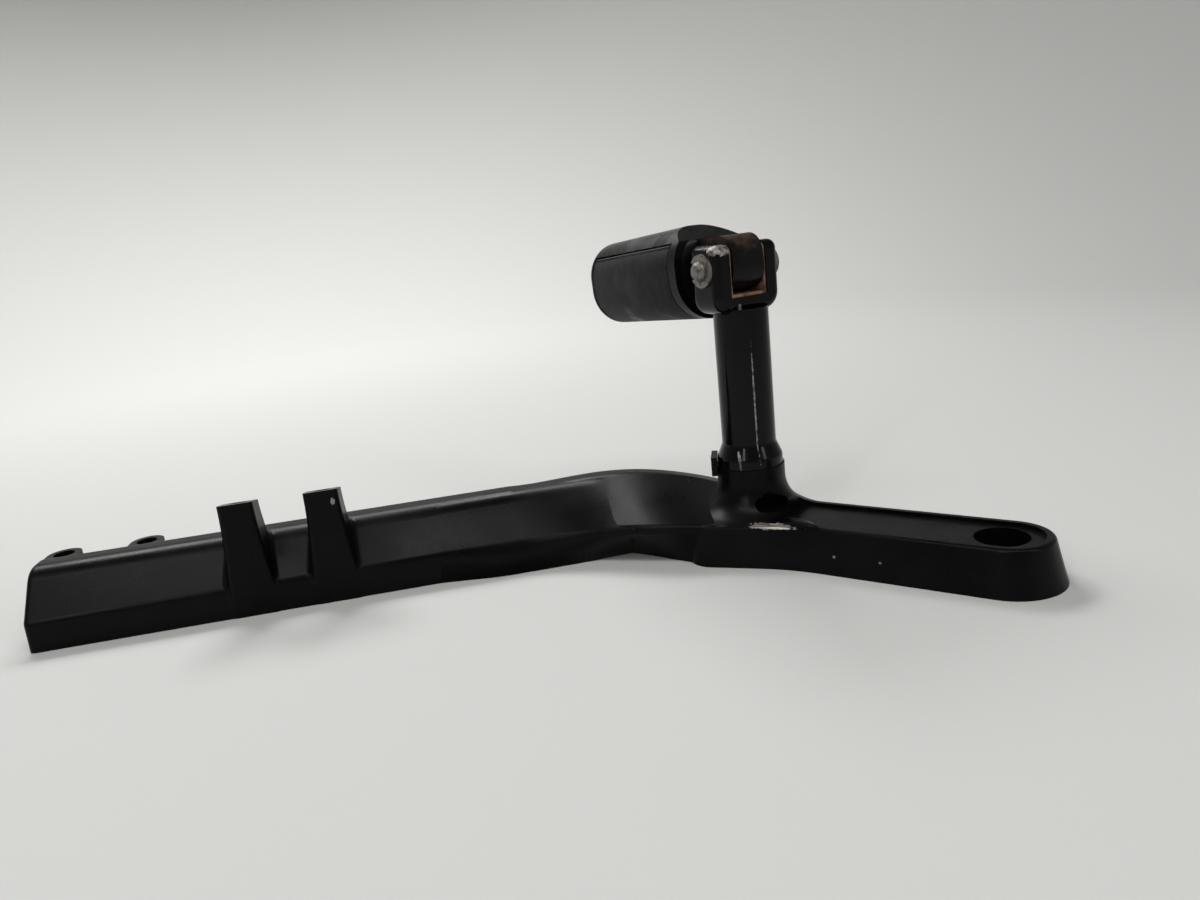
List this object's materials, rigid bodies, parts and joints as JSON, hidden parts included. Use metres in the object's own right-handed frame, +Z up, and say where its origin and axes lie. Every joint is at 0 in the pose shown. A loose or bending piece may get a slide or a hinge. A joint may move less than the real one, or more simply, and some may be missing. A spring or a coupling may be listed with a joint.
{
  "type": "motorcycle foot control",
  "caption": "Cast motorcycle foot-peg support: a long hollow bar that turns into an arm, an upright post with a clevis, and a rubber-padded footpeg that folds on its hinge pin.",
  "frame": {"origin": "centre of the front mounting bore, on the bracket's base face", "axes": "+X along the bar towards the front bore, +Y to the side that the folded peg points to, +Z up along the post"},
  "size_m": [0.3915, 0.1863, 0.137],
  "materials": {
    "bracket": "satin black paint on a casting",
    "peg_post": "gloss black paint",
    "slot_liner": "rust-stained sheet",
    "pivot_pin": "worn plated steel",
    "pin_ring": "worn plated steel",
    "post_bolt": "plated steel",
    "post_bolt_washer": "plated steel",
    "peg_core": "worn black paint, rusty at the tongue",
    "peg_pad": "scuffed rubber"
  },
  "bodies": {
    "bracket": {"bracket": "bracket", "peg_post": "peg_post", "slot_liner": "slot_liner", "pivot_pin": "pivot_pin", "pin_ring": "pin_ring", "post_bolt": "post_bolt", "post_bolt_washer": "post_bolt_washer"},
    "peg": {"peg_core": "peg_core", "peg_pad": "peg_pad"}
  },
  "joints": [
    {"name": "peg_fold", "type": "hinge", "parent": "bracket", "child": "peg", "pos_m": [-0.06947, 0.07443, 0.1195], "axis": [0.9483, 0.3173, 0], "range_deg": [0, 94.5]}
  ]
}
